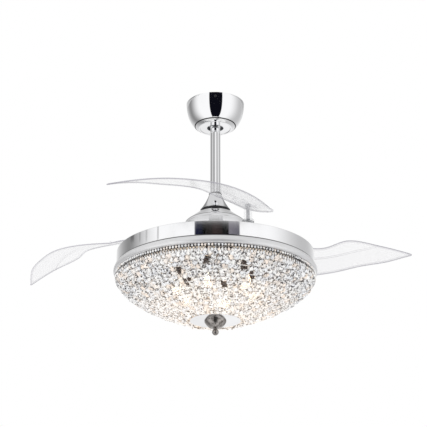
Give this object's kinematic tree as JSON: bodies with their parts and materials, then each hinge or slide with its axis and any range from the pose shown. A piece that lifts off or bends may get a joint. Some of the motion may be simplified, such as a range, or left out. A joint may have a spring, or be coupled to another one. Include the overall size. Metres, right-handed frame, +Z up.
{
  "type": "retractable blade ceiling fan",
  "caption": "Ceiling fan with clear blades that swing out over a round light drum with a crystal bowl, on a short chrome downrod.",
  "frame": {"origin": "middle of the top face of the ceiling bracket, on the fan's axis", "axes": "+Z up along the downrod, -Y towards the viewer of the picture, +X to that viewer's right"},
  "size_m": [1.0292, 0.74, 0.6404],
  "materials": {
    "chrome": "polished",
    "zinc_steel": "zinc plated",
    "dark_nickel": "dark polished nickel",
    "black_rubber": "matt",
    "black_plastic": "matt",
    "brown_phenolic": "satin",
    "white_paint": "satin white",
    "copper": "enamelled copper wire",
    "laminated_steel": "laminated",
    "magnet": "matt",
    "clear_acrylic": "clear, polished",
    "crystal": "clear, faceted",
    "lit_glass": "frosted, lit warm"
  },
  "bodies": {
    "ceiling_assembly": {"ceiling_bracket": "zinc_steel", "bracket_screw_back": "zinc_steel", "bracket_screw_front": "zinc_steel", "canopy": "chrome", "canopy_screw_back": "chrome", "canopy_screw_front": "chrome", "receiver_box": "black_plastic"},
    "hanging_assembly": {"hanger_ball": "zinc_steel", "ball_cross_pin": "zinc_steel", "downrod": "chrome", "yoke": "zinc_steel", "yoke_pin": "zinc_steel", "coupling_cover": "chrome", "cover_top_ring": "black_rubber", "cover_gap_ring": "black_rubber", "motor_shaft": "zinc_steel", "stator_core": "laminated_steel", "stator_winding": "copper", "lamp_pan": "white_paint", "pan_nut": "zinc_steel", "drum_band": "chrome", "lip_ring": "chrome", "bead_trim": "crystal", "lamp_holder_1": "brown_phenolic", "lamp_holder_2": "brown_phenolic", "lamp_holder_3": "brown_phenolic", "lamp_holder_4": "brown_phenolic", "lamp_holder_5": "brown_phenolic", "lamp_holder_6": "brown_phenolic", "bulb_1": "lit_glass", "bulb_2": "lit_glass", "bulb_3": "lit_glass", "bulb_4": "lit_glass", "bulb_5": "lit_glass", "bulb_6": "lit_glass", "led_driver": "brown_phenolic", "crystal_bowl": "crystal", "basket_frame": "chrome", "centre_rod": "zinc_steel", "bottom_plate": "chrome", "finial": "dark_nickel"},
    "rotor": {"upper_bearing": "zinc_steel", "lower_bearing": "zinc_steel", "rotor_upper_shell": "zinc_steel", "rotor_lower_shell": "zinc_steel", "magnet_ring": "magnet", "upper_motor_cover": "chrome", "blade_carrier": "zinc_steel", "pivot_pin_right": "zinc_steel", "pivot_pin_front": "zinc_steel", "pivot_pin_left": "zinc_steel", "return_spring_right": "zinc_steel", "return_spring_front": "zinc_steel", "return_spring_left": "zinc_steel"},
    "blade_arm_right": {"blade_right": "clear_acrylic", "blade_holder_right": "clear_acrylic"},
    "blade_arm_front": {"blade_front": "clear_acrylic", "blade_holder_front": "clear_acrylic"},
    "blade_arm_left": {"blade_left": "clear_acrylic", "blade_holder_left": "clear_acrylic"}
  },
  "joints": [
    {"name": "hanger_swing", "type": "hinge", "parent": "ceiling_assembly", "child": "hanging_assembly", "pos_m": [0, 0, -0.044], "axis": [1, 0, 0], "range_deg": [-12, 12]},
    {"name": "rotor_spin", "type": "hinge", "parent": "hanging_assembly", "child": "rotor", "pos_m": [0, 0, -0.385], "axis": [0, 0, 1], "continuous": true},
    {"name": "blade_right_fold", "type": "hinge", "parent": "rotor", "child": "blade_arm_right", "pos_m": [0.13719, 0.16942, -0.3798], "axis": [0, 0, 1], "range_deg": [-72.5, 39.3], "stiffness_Nm_per_rad": 0.06, "springref_deg": -72.5},
    {"name": "blade_front_fold", "type": "hinge", "parent": "rotor", "child": "blade_arm_front", "pos_m": [0.07812, -0.20352, -0.3798], "axis": [0, 0, 1], "range_deg": [-68.8, 43], "stiffness_Nm_per_rad": 0.06, "springref_deg": -68.8},
    {"name": "blade_left_fold", "type": "hinge", "parent": "rotor", "child": "blade_arm_left", "pos_m": [-0.21532, 0.0341, -0.3798], "axis": [0, 0, 1], "range_deg": [-111.8, 0], "stiffness_Nm_per_rad": 0.06, "springref_deg": -111.8}
  ]
}
